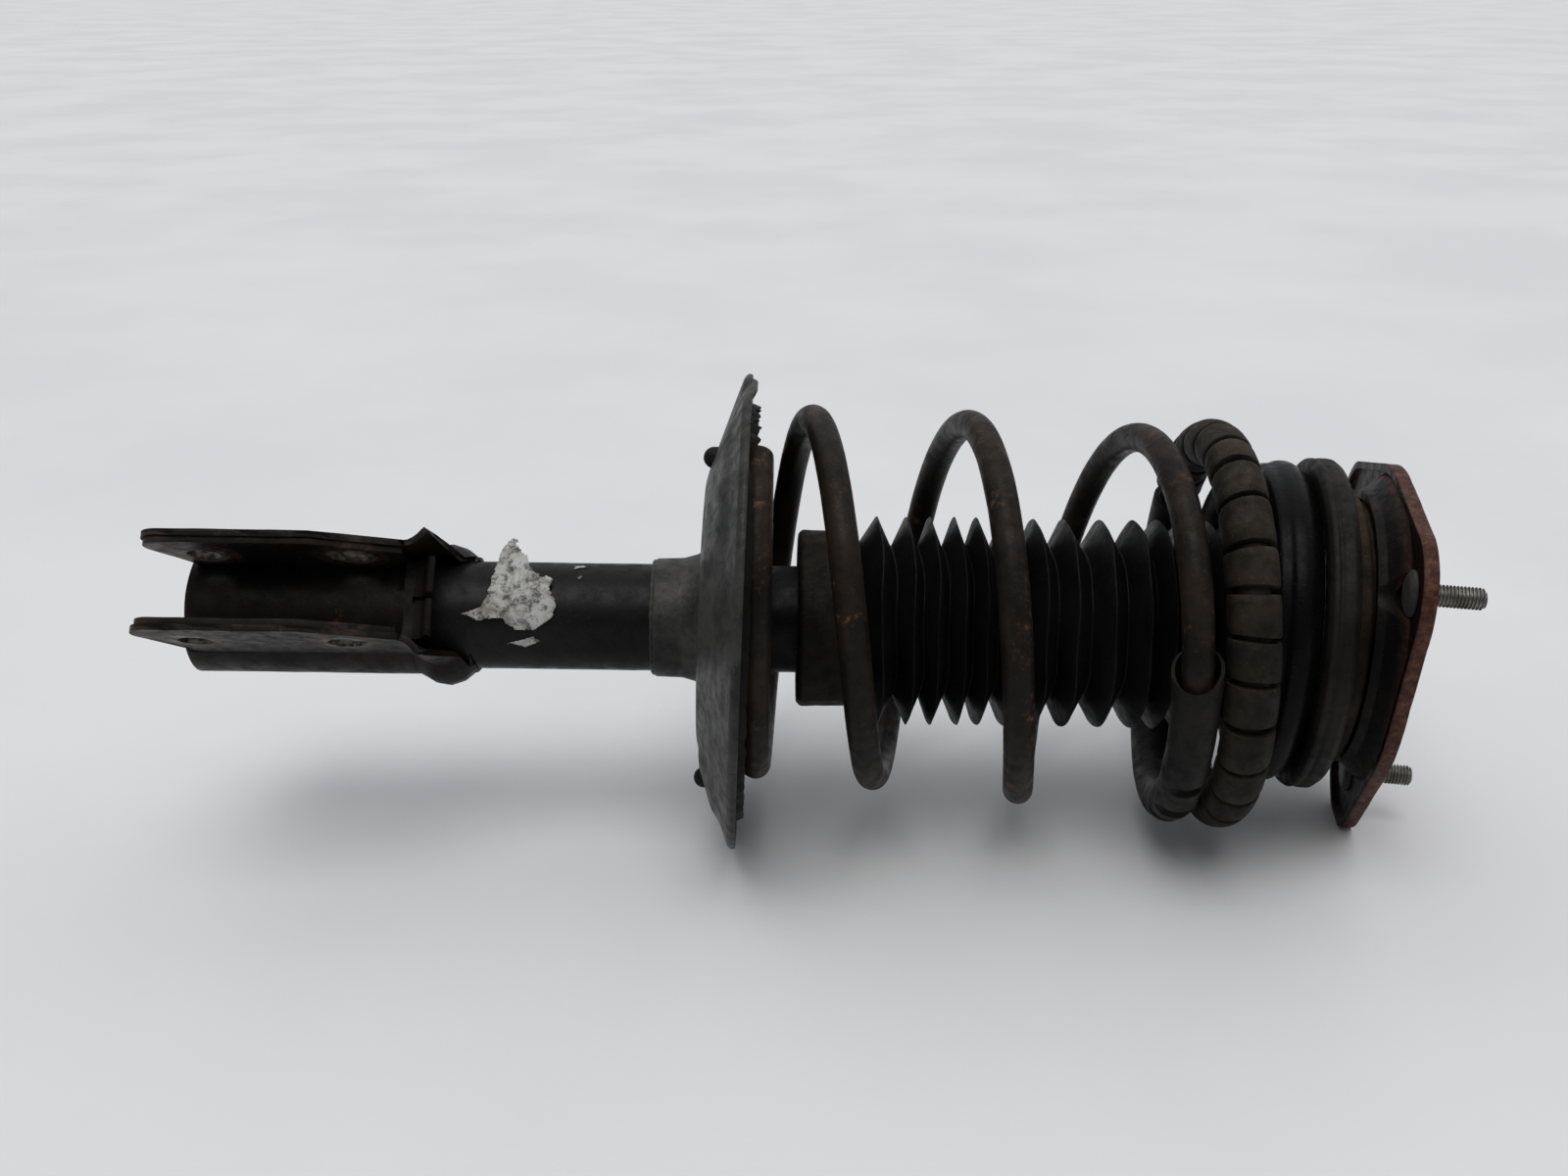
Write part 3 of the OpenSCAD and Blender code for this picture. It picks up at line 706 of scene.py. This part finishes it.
def make_spring():
    """The wire, with rounded ends, rust pits and slight lumps."""
    def line(t):
        return coil_point(t * COIL_TURNS)

    def radius(t, angle):
        x, y, z = line(t)
        end = min(t, 1 - t) * COIL_TURNS * TAU * COIL_R
        round_end = math.sqrt(max(0.0, 1 - (1 - min(1.0, end / 2.5)) ** 2)) * 0.25 + 0.75
        pit = noise_at(x + 9 * math.cos(angle), y + 9 * math.sin(angle), z, 3.0, 5.0)
        lump = noise_at(x + 7 * math.cos(angle), y, z + 7 * math.sin(angle), 16, 6.0)
        return (WIRE_R - 0.06 + 0.10 * lump - 0.22 * max(0.0, pit - 0.35)) * round_end

    spring = sweep("spring_wire", line, radius, 28, 1500)
    finish_piece(spring, SPRING_PAINT, None, ["coil_spring"])
    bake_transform(spring)


def rubber_tube(name, a, b, outer, sides, rings, material, node, mouth=0.0):
    """A sleeve on the wire from turn a to turn b. outer(n, angle) is its outer radius;
    mouth is how many turns its first end is cut back where it faces outwards."""
    def inner(t, angle):
        gape = 2.2 * (1 - smooth(t, 0.0, 0.07)) if mouth else 0.0
        return WIRE_R + 0.35 + gape

    def cut_back(t, angle):
        return (mouth / (b - a) * (0.5 + 0.5 * math.cos(angle - math.radians(20)))
                * (1 - smooth(t, 0.0, 0.14)))

    def line(t):
        return coil_point(a + (b - a) * t)

    def shell(t, angle):
        return outer(a + (b - a) * t, angle)

    skin = sweep(f"{name}_skin", line, shell, sides, rings, caps=False, slide=cut_back)
    core = sweep(f"{name}_core", line, inner, sides, rings, caps=False, slide=cut_back)
    count = len(skin.data.vertices)
    sleeve = bmesh.new()
    sleeve.from_mesh(skin.data)
    sleeve.from_mesh(core.data)
    sleeve.verts.ensure_lookup_table()
    for ring in (0, rings):
        for k in range(sides):
            j = (k + 1) % sides
            corners = [ring * sides + k, ring * sides + j,
                       count + ring * sides + j, count + ring * sides + k]
            sleeve.faces.new([sleeve.verts[i] for i in corners])
    data = bpy.data.meshes.new(name)
    sleeve.to_mesh(data)
    sleeve.free()
    for piece in (skin, core):
        bpy.data.objects.remove(piece)
    piece = linked(name, data)
    tidy_mesh(piece, 38.0, 1e-7)
    finish_piece(piece, material, None, [node])
    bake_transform(piece)


def make_sleeves():
    """The smooth sleeve with its open mouth and tears, and the notched one above it."""
    # each tear: its turn, half its length in turns and its angle round the sleeve
    tears = ((3.276, 0.0046, 345), (3.318, 0.0068, 5), (3.348, 0.0054, 15), (3.374, 0.0040, 30))

    def smooth_outer(n, angle):
        x, y, z = coil_point(n)
        r = SLEEVE_R - 0.9 + 0.3 * noise_at(x + 11 * math.cos(angle), y, z, 18, 2.0)
        r += 0.8 * (1 - smooth(n, 3.15, 3.19)) + 0.5 * smooth(abs(n - 3.29), 0.0, 0.03) - 0.5
        for at, half, middle in tears:
            lens = smooth(math.cos(angle - math.radians(middle)), 0.40, 0.85)
            r -= 3.0 * lens * (1 - smooth(abs(n - at), half * lens, half * lens + 0.0022))
        return r

    rubber_tube("sleeve_smooth", 3.15, 3.76, smooth_outer, 64, 700, SLEEVE_RUBBER, "coil_sleeve",
                mouth=0.030)

    first, last, count = 3.79, 4.41, 17
    slits = []
    for i in range(count):
        wobble = 0.25 * noise_at(i * 7.3, 0, 0, 5.0, 3.3)
        slits.append(first + (last - first) * (i + 0.5 + wobble) / count)

    def slit_outer(n, angle):
        x, y, z = coil_point(n)
        nearest = min(range(count), key=lambda i: abs(slits[i] - n))
        lean = 0.0018 * math.sin(angle + nearest)
        gap = abs(n - slits[nearest] - lean)
        lens = 0.5 + 0.5 * math.cos(angle - math.radians(15))
        half = 0.0006 + (0.0006 + 0.0007 * (nearest % 3)) * lens
        cut = 1 - smooth(gap, half, half + 0.0013)
        block = 1 - smooth(gap, half, half + 0.006)
        uneven = 0.25 * noise_at(x + 12 * math.cos(angle), y + 12 * math.sin(angle), z, 9, 7.0)
        return SLEEVE_R + 0.2 + 0.5 * uneven - 0.4 * block - 4.2 * cut

    rubber_tube("sleeve_segmented", 3.78, 4.42, slit_outer, 48, 1400, SLIT_RUBBER,
                "segmented_sleeve")


# ---------------------------------------------------------------- boot

CUP_LOW = -279
CUP_HIGH = -252
BOOT_HIGH = -65
CUP_R = 43
CRESTS = [-241, -227, -216, -204, -194, -181, -167, -153, -136, -120, -109, -97, -86, -75]
CREST_R = 51
VALLEY_R = 35.5
BOOT_WALL = 1.6


def make_boot():
    """The plain cup at the boot's lower end, and its bellows."""
    profile = [(TUBE_R + 0.1, CUP_LOW), (CUP_R - 2, CUP_LOW), (CUP_R, CUP_LOW + 2),
               (CUP_R - 0.5, CUP_HIGH - 2), (38, CUP_HIGH), (VALLEY_R - 1, CUP_HIGH),
               (VALLEY_R - 1, CUP_HIGH - 3), (38.6, CUP_HIGH - 4), (CUP_R - 3, CUP_LOW + 3),
               (TUBE_R + 0.1, CUP_LOW + 3)]
    profile = dense(rounded(profile, 1.2, 4), 2.5)

    def lobed(r, x, elevation):
        # flats where the cup was moulded, so that its outline is not quite round
        if r > 34:
            flat = max(math.cos(elevation - math.radians(a)) for a in (60, 180, 300))
            r -= 1.6 * smooth(flat, 0.93, 1.0)
            y, z = r * math.cos(elevation), r * math.sin(elevation)
            r += 0.25 * noise_at(x, y, z, 10, 2.5) - 0.2
        return r, x

    cup = lathe("boot_cup", profile, 160, lobed)
    finish_piece(cup, CUP_RUBBER, "strut_body")

    outside = [(VALLEY_R, CUP_HIGH + 1)]
    after = CRESTS[1:] + [2 * (BOOT_HIGH - 4) - CRESTS[-1]]
    for crest, following in zip(CRESTS, after):
        outside += [(CREST_R - 0.4, crest), (VALLEY_R, (crest + following) / 2)]
    lining = [(r - BOOT_WALL, x) for r, x in reversed(outside)]
    flange = [(45, BOOT_HIGH - 2), (45, BOOT_HIGH - 0.3), (VALLEY_R - 2, BOOT_HIGH - 0.3)]
    tilt = math.tan(BEARING_LEAN)
    profile = dense(rounded(outside + flange + lining, 1.1, 3), 2.2)

    def slack(r, x, elevation):
        y, z = math.cos(elevation), math.sin(elevation)
        free = smooth(x, CUP_HIGH, CUP_HIGH + 12) * (1 - smooth(x, BOOT_HIGH - 14, BOOT_HIGH - 5))
        bulge = smooth(r, VALLEY_R, CREST_R)
        x += free * 1.7 * noise_at(70 * y, 70 * z, 0.35 * x, 55, 3.0)
        x += free * bulge * 0.9 * noise_at(50 * y, 50 * z, x, 24, 5.0)
        r += free * (0.7 * noise_at(50 * y, 50 * z, x, 34, 7.0) - 0.5) * (0.4 + 0.6 * bulge)
        x -= tilt * r * y * smooth(x, BOOT_HIGH - 14, BOOT_HIGH)
        return r, x

    bellows = lathe("boot_bellows", profile, 220, slack, sharp=60)
    finish_piece(bellows, BOOT_RUBBER, None, ["dust_boot"])
    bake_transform(bellows)


# ---------------------------------------------------------------- upper seat, bearing and mount

BEARING_X = -42
TOP_SEAT_X = -65
PLATE_T = 3.5
STUD_R = 5
STUD_HEAD_R = 10.4
STUD_OUT = 26
STUD_CIRCLE_R = 75
LOBES = [math.radians(e) for e in (34, -86, 154)]    # the plate's lobes and studs
BEARING_LEAN = math.radians(7)
TOP_RISE = Matrix.Rotation(math.radians(0.5), 4, "Y")
TOP_LEAN = TOP_RISE @ Matrix.Rotation(-BEARING_LEAN, 4, "Z")


def make_upper_seat():
    """The glossy ring that the spring bears on."""
    profile = [(32, TOP_SEAT_X), (70, TOP_SEAT_X), (74, TOP_SEAT_X + 1.5), (75.2, TOP_SEAT_X + 4),
               (75.2, TOP_SEAT_X + 7), (76.8, TOP_SEAT_X + 10), (76.8, TOP_SEAT_X + 15),
               (74.5, BEARING_X - 4), (71, BEARING_X), (54, BEARING_X), (54, BEARING_X - 4),
               (32, BEARING_X - 4)]
    profile = dense(rounded(profile, 2.4, 5), 2.5)
    ring = lathe("top_seat_ring", profile, 256)
    ring.data.transform(TOP_LEAN)
    finish_piece(ring, GLOSSY_SEAT, "spring_top", ["upper_spring_seat"])


def make_bearing_cap():
    """The thick black ring over the bearing, grooved round its rim."""
    low, high = BEARING_X + 0.3, BEARING_X + 15
    profile = [(53, low), (54.5, high - 4.3), (68, high - 4.3), (68, low), (76, low),
               (78.8, BEARING_X + 2), (79.2, BEARING_X + 4), (78.2, BEARING_X + 5),
               (79.2, BEARING_X + 7), (79.2, high - 4), (77, high - 1), (70, high), (50, high),
               (50, low)]
    profile = dense(rounded(profile, 0.9, 4), 2.5)

    def worn(r, x, elevation):
        if r > 72:
            y, z = r * math.cos(elevation), r * math.sin(elevation)
            r += 0.25 * noise_at(x, y, z, 9, 5.5) - 0.2
        return r, x

    cap = lathe("bearing_cover", profile, 256, worn)
    cap.data.transform(TOP_LEAN)
    finish_piece(cap, CAP_RUBBER, "top_mount", ["bearing_cap"])


def make_mount():
    """The mount's rubber block and its plate, from the CAD nodes."""
    rubber = refined("mount_rubber", "mount_cushion", 1.4, 0.35, 7, 4)
    finish_piece(rubber, BROWN_RUBBER, "top_mount", ["mount_rubber"])
    plate = refined("mount_plate", "top_plate", 0.9, 0.20, 9, 5)
    finish_piece(plate, PLATE_PAINT, "top_mount", ["mount_plate"])


def stud(name):
    """A stud's shank, with a rolled helical thread."""
    pitch, depth, sides = 1.5, 0.95, 48
    threaded_from, steps_per_turn = 1.2, 12
    low = -PLATE_T - 0.2
    rings = int((STUD_OUT - low) / pitch * steps_per_turn)
    verts = []
    for i in range(rings + 1):
        x = low + (STUD_OUT - low) * i / rings
        for k in range(sides):
            a = TAU * k / sides
            phase = (x / pitch - k / sides) % 1.0
            flank = abs(2 * phase - 1)
            groove = depth * smooth(flank, 0.12, 0.88)
            fade = smooth(x, threaded_from, threaded_from + 1.2)
            lead = smooth(x, STUD_OUT - 1.6, STUD_OUT)
            r = STUD_R - 0.03 - groove * fade - 1.0 * lead
            verts.append((x, -r * math.cos(a), r * math.sin(a)))
    return mesh_piece(name, verts, tube_faces(sides, rings), 55)


def make_studs():
    """Three studs, each with a low round head behind the plate."""
    top = -PLATE_T - 3.2
    profile = [(0, top), (7.5, top), (STUD_HEAD_R, top + 1.6), (STUD_HEAD_R, -PLATE_T),
               (0, -PLATE_T)]
    profile = dense(rounded(profile, 1.0, 4), 1.2)
    studs, heads = [], []
    for i, elevation in enumerate(LOBES):
        place = (TOP_RISE @ Matrix.Rotation(-PLATE_LEAN, 4, "Z")
                 @ Matrix.Rotation(-elevation, 4, "X")
                 @ Matrix.Translation((0, -STUD_CIRCLE_R * MM, 0)))
        shank = stud(f"stud_{i}")
        head = lathe(f"head_{i}", profile, 64)
        shank.data.transform(place)
        head.data.transform(place)
        studs.append(shank)
        heads.append(head)
    shanks = joined("stud_threads", studs, 55)
    finish_piece(shanks, ZINC, "top_mount", ["mount_studs"])
    finish_piece(joined("stud_heads", heads), HEAD_STEEL, "top_mount")


# ---------------------------------------------------------------- label

def inside(x, y, outline):
    """Whether a point is inside a closed outline."""
    odd = False
    for (ax, ay), (bx, by) in zip(outline, outline[1:] + outline[:1]):
        if (ay > y) != (by > y) and x < ax + (y - ay) * (bx - ax) / (by - ay):
            odd = not odd
    return odd


def make_label():
    """What is left of a paper label: a crumpled flap that stands off the tube, and flakes.
    The outlines are (x, elevation), in millimetres and degrees."""
    flap = [(-434, 24), (-427, 18), (-416, 20), (-409, 8), (-400, 9), (-393, 20), (-390, 34),
            (-394, 52), (-392, 60), (-399, 66), (-405, 82), (-411, 100), (-414, 112), (-417, 96),
            (-421, 66), (-423, 40), (-426, 30)]
    flakes = [[(-383, 84), (-379, 86), (-380, 90), (-384, 89)],
              [(-382, 66), (-380, 65), (-380, 71)],
              [(-412, -6), (-404, -10), (-398, -4), (-401, 0), (-407, -3)]]
    low_x, high_x, low_e, high_e = -436, -376, -12, 114
    cells = 150

    def place(i, k):
        return low_x + (high_x - low_x) * k / cells, low_e + (high_e - low_e) * i / cells

    verts, faces = [], []
    for i in range(cells + 1):
        for k in range(cells + 1):
            x, e = place(i, k)
            body = smooth(x, -428, -418) * (1 - smooth(x, -388, -384)) * smooth(e, 4, 22)
            lift = 8.5 * smooth(e, 62, 112) + 2.5 * smooth(x, -404, -390) * smooth(e, 24, 50)
            crease = (1.7 * abs(noise_at(x, 0.5 * e, 0, 11, 2.2))
                      + 0.8 * noise_at(x, 0.5 * e, 4, 4, 1.1))
            r = TUBE_R + 0.4 + max(0.0, body * (0.5 + lift + crease * (0.5 + 0.12 * lift)))
            a = math.radians(e - 0.16 * lift)
            verts.append((x, -r * math.cos(a), r * math.sin(a)))
    for i in range(cells):
        for k in range(cells):
            x, e = place(i + 0.5, k + 0.5)
            fray = (1.3 * noise_at(x, 0.5 * e, 9, 3.5, 4.4)
                    + 0.6 * noise_at(x, 0.5 * e, 2, 1.2, 6.1))
            if any(inside(x + fray, e + 1.6 * fray, shape) for shape in [flap, *flakes]):
                p = i * (cells + 1) + k
                faces.append((p, p + 1, p + cells + 2, p + cells + 1))
    sheet = mesh_piece("torn_label", verts, faces, 180)
    bm = bmesh.new()
    bm.from_mesh(sheet.data)
    bmesh.ops.delete(bm, geom=[v for v in bm.verts if not v.link_faces], context="VERTS")
    bm.to_mesh(sheet.data)
    bm.free()
    thick = sheet.modifiers.new("paper", "SOLIDIFY")
    thick.thickness = 0.25 * MM
    baked(sheet)
    finish_piece(sheet, PAPER, "strut_body", ["label_remnant"])


make_tube()
make_bracket()
make_seat()
make_pad()
make_spring()
make_sleeves()
make_boot()
make_upper_seat()
make_bearing_cap()
make_mount()
make_studs()
make_label()

# these nodes are seen as the CAD made them, with only a material added
CARRIED = {
    "pressure_tube": STEEL, "base_valve": STEEL, "rod_guide": STEEL, "rod_seal": SEAL,
    "bump_cap": STEEL, "bearing_lower_race": STEEL, "bearing_upper_race": STEEL,
    "bearing_cage": NYLON, "bearing_balls": CHROME, "mount_core": HEAD_STEEL,
    "piston_rod": CHROME, "piston": STEEL, "piston_band": BRONZE, "rebound_stop": SEAL,
    "jounce_bumper": FOAM, "rod_washer": ZINC, "rod_nut": ZINC,
}
for node, material in CARRIED.items():
    NODES[node].data.materials.clear()
    NODES[node].data.materials.append(material)


# ---------------------------------------------------------------- camera, floor and light

FLOOR_SLOPE = math.radians(1.37)     # the mount end rests a little higher than the seat end
PITCH = math.radians(22)
ROLL = math.radians(0.45)
DISTANCE = 750
LENS = 36.07
ON_TUBE = Vector((-285, 0, 0))       # the point of the axis in the middle of the view
DROP = 14.8                          # how far that point lies below the middle of the view
FLOOR_HALF = 20                      # half the floor's side, in metres
RIM_FROM_SEAT = 11                   # where along the axis the seat's rim touches the floor
FLOOR_SINK = 0.8                     # the rim's waves are cut in this far, so it stands higher
SUN_FROM = Vector((-0.08, -0.35, 1.0))
to_floor = Matrix.Rotation(-FLOOR_SLOPE, 4, "Y")

forward = Vector((0, math.cos(PITCH), -math.sin(PITCH)))
view_up = Vector((0, math.sin(PITCH), math.cos(PITCH)))
camera_place = ON_TUBE + to_floor @ (view_up * DROP - forward * DISTANCE)
camera_data = bpy.data.cameras.new("camera")
camera_data.lens = LENS
camera_data.sensor_width = 36
camera = linked("camera", camera_data)
camera.matrix_world = (Matrix.Translation(camera_place * MM) @ to_floor
                       @ Matrix.Rotation(math.pi / 2 - PITCH, 4, "X")
                       @ Matrix.Rotation(-ROLL, 4, "Z"))
bpy.context.scene.camera = camera

foot_z = SEAT_RISE - SEAT_R * math.cos(SEAT_LEAN) + FLOOR_SINK
seat_foot = Vector((SEAT_X + RIM_FROM_SEAT, 0, foot_z)) * MM
corners = [(-FLOOR_HALF, -FLOOR_HALF, 0), (FLOOR_HALF, -FLOOR_HALF, 0),
           (FLOOR_HALF, FLOOR_HALF, 0), (-FLOOR_HALF, FLOOR_HALF, 0)]
floor_mesh = bpy.data.meshes.new("floor")
floor_mesh.from_pydata(corners, [], [(0, 1, 2, 3)])
floor = linked("floor", floor_mesh)
floor.matrix_world = Matrix.Translation(seat_foot) @ to_floor
floor.data.materials.append(floor_finish())

world = bpy.data.worlds.new("studio")
world.use_nodes = True
sky = world.node_tree.nodes
links = world.node_tree.links
way = sky.new("ShaderNodeSeparateXYZ")
links.new(sky.new("ShaderNodeTexCoord").outputs["Generated"], way.inputs[0])
level = sky.new("ShaderNodeMath")
level.operation = "MULTIPLY"
# brighter overhead than at the horizon, and brighter beyond the strut than on the camera's side
ramps = (("Z", 0.0, 0.95, 0.30), ("Y", -0.8, 0.5, 0.35))
for slot, (axis, low, high, dimmest) in enumerate(ramps):
    ramp = sky.new("ShaderNodeMapRange")
    for socket, number in (("From Min", low), ("From Max", high), ("To Min", dimmest)):
        ramp.inputs[socket].default_value = number
    links.new(way.outputs[axis], ramp.inputs["Value"])
    links.new(ramp.outputs["Result"], level.inputs[slot])
sky["Background"].inputs["Color"].default_value = (0.96, 0.975, 1.0, 1)
links.new(level.outputs[0], sky["Background"].inputs["Strength"])
bpy.context.scene.world = world

lamp_data = bpy.data.lights.new("window", "SUN")
lamp_data.energy = 1.2
lamp_data.angle = math.radians(42)
lamp_data.color = (1.0, 0.995, 0.98)
lamp = linked("window", lamp_data)
lamp.matrix_world = SUN_FROM.to_track_quat("Z", "Y").to_matrix().to_4x4()
bpy.context.scene.view_settings.view_transform = "Standard"
